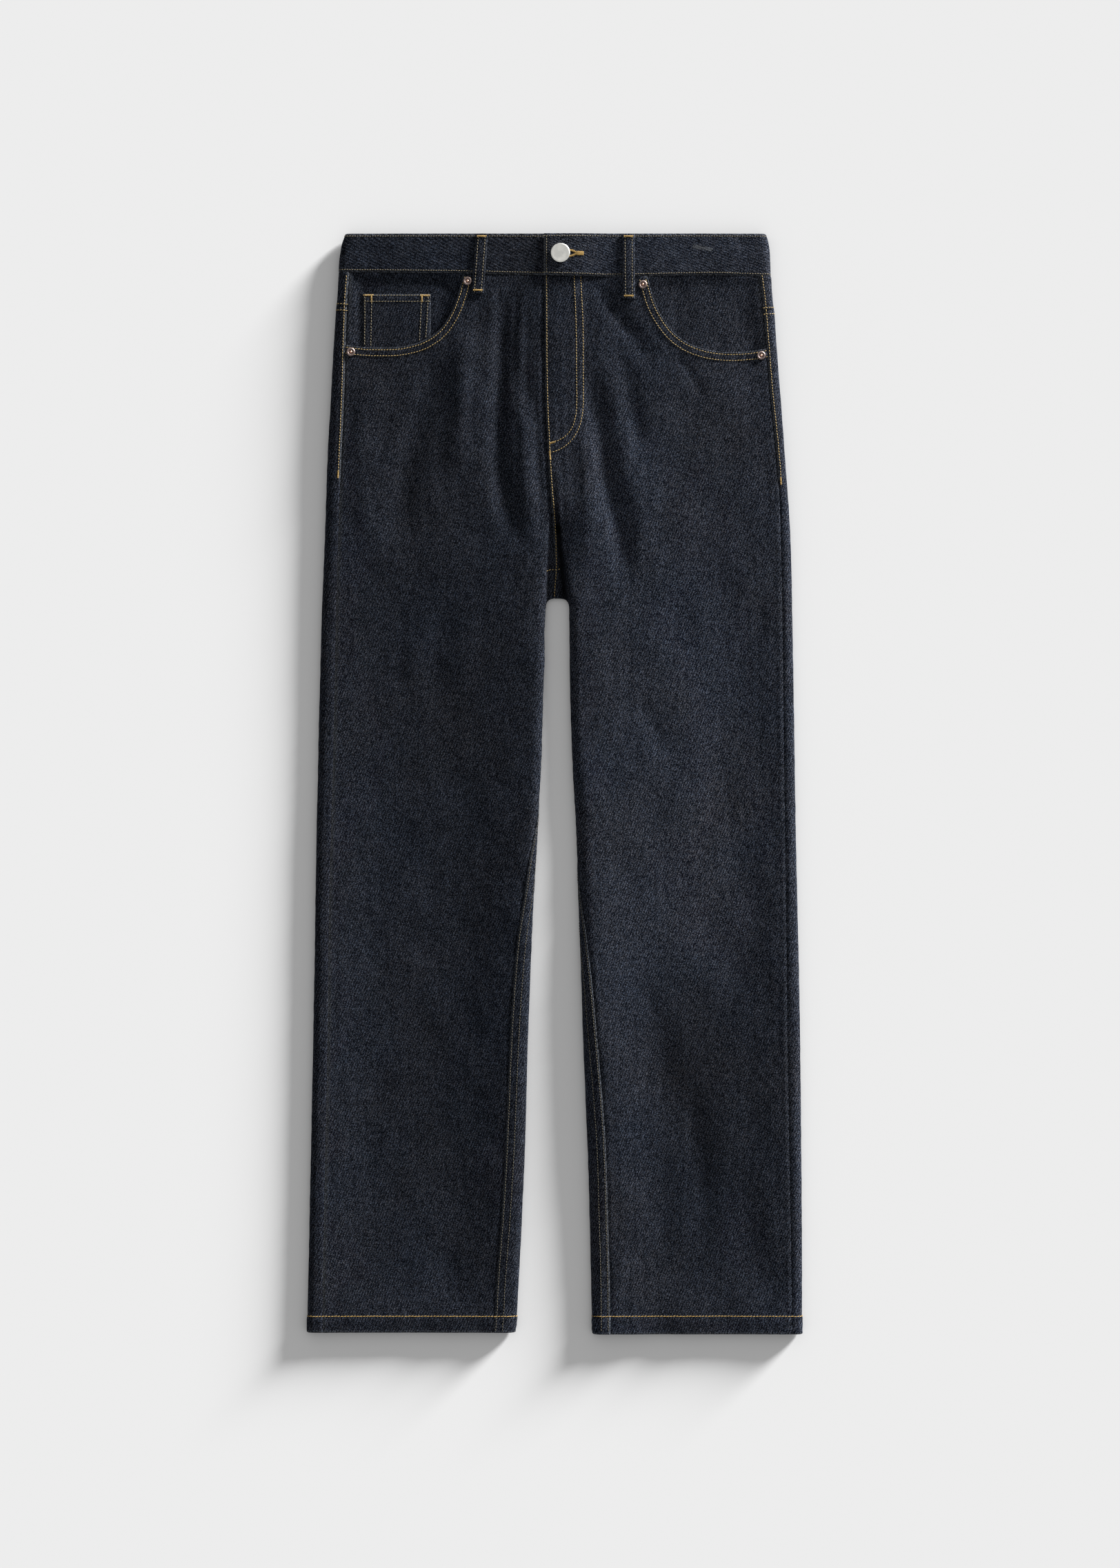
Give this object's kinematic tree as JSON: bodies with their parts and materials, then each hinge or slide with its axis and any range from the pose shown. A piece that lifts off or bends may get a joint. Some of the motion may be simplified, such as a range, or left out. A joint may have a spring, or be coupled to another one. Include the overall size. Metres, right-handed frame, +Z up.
{
  "type": "straight leg jeans",
  "caption": "Full length straight leg denim jeans laid flat with the front up, with a waistband, belt loops, curved front pockets, a coin pocket, rivets and a shank button.",
  "frame": {"origin": "centre of the laid garment's bounding box, on the surface it lies on", "axes": "+X to the wearer's left, +Y from the hems to the waistband, +Z up from the surface, out of the front"},
  "size_m": [0.4881, 1.0831, 0.0178],
  "materials": {
    "denim": "dark rinsed indigo twill, matt",
    "thread": "gold sewing thread",
    "copper": "antique copper, satin",
    "silver": "pale silver, satin"
  },
  "bodies": {
    "root": {"front_panel_right": "denim", "front_panel_left": "denim", "back_panel_right": "denim", "back_panel_left": "denim", "back_yoke_right": "denim", "back_yoke_left": "denim", "waistband": "denim", "pocket_facing_right": "denim", "pocket_facing_left": "denim", "coin_pocket": "denim", "back_pocket_right": "denim", "back_pocket_left": "denim", "belt_loop_front_right": "denim", "belt_loop_front_left": "denim", "belt_loop_side_right": "denim", "belt_loop_side_left": "denim", "belt_loop_center_back": "denim", "rivet_right_inner": "copper", "rivet_right_outer": "copper", "rivet_left_inner": "copper", "rivet_left_outer": "copper", "waist_button": "silver"}
  },
  "joints": []
}
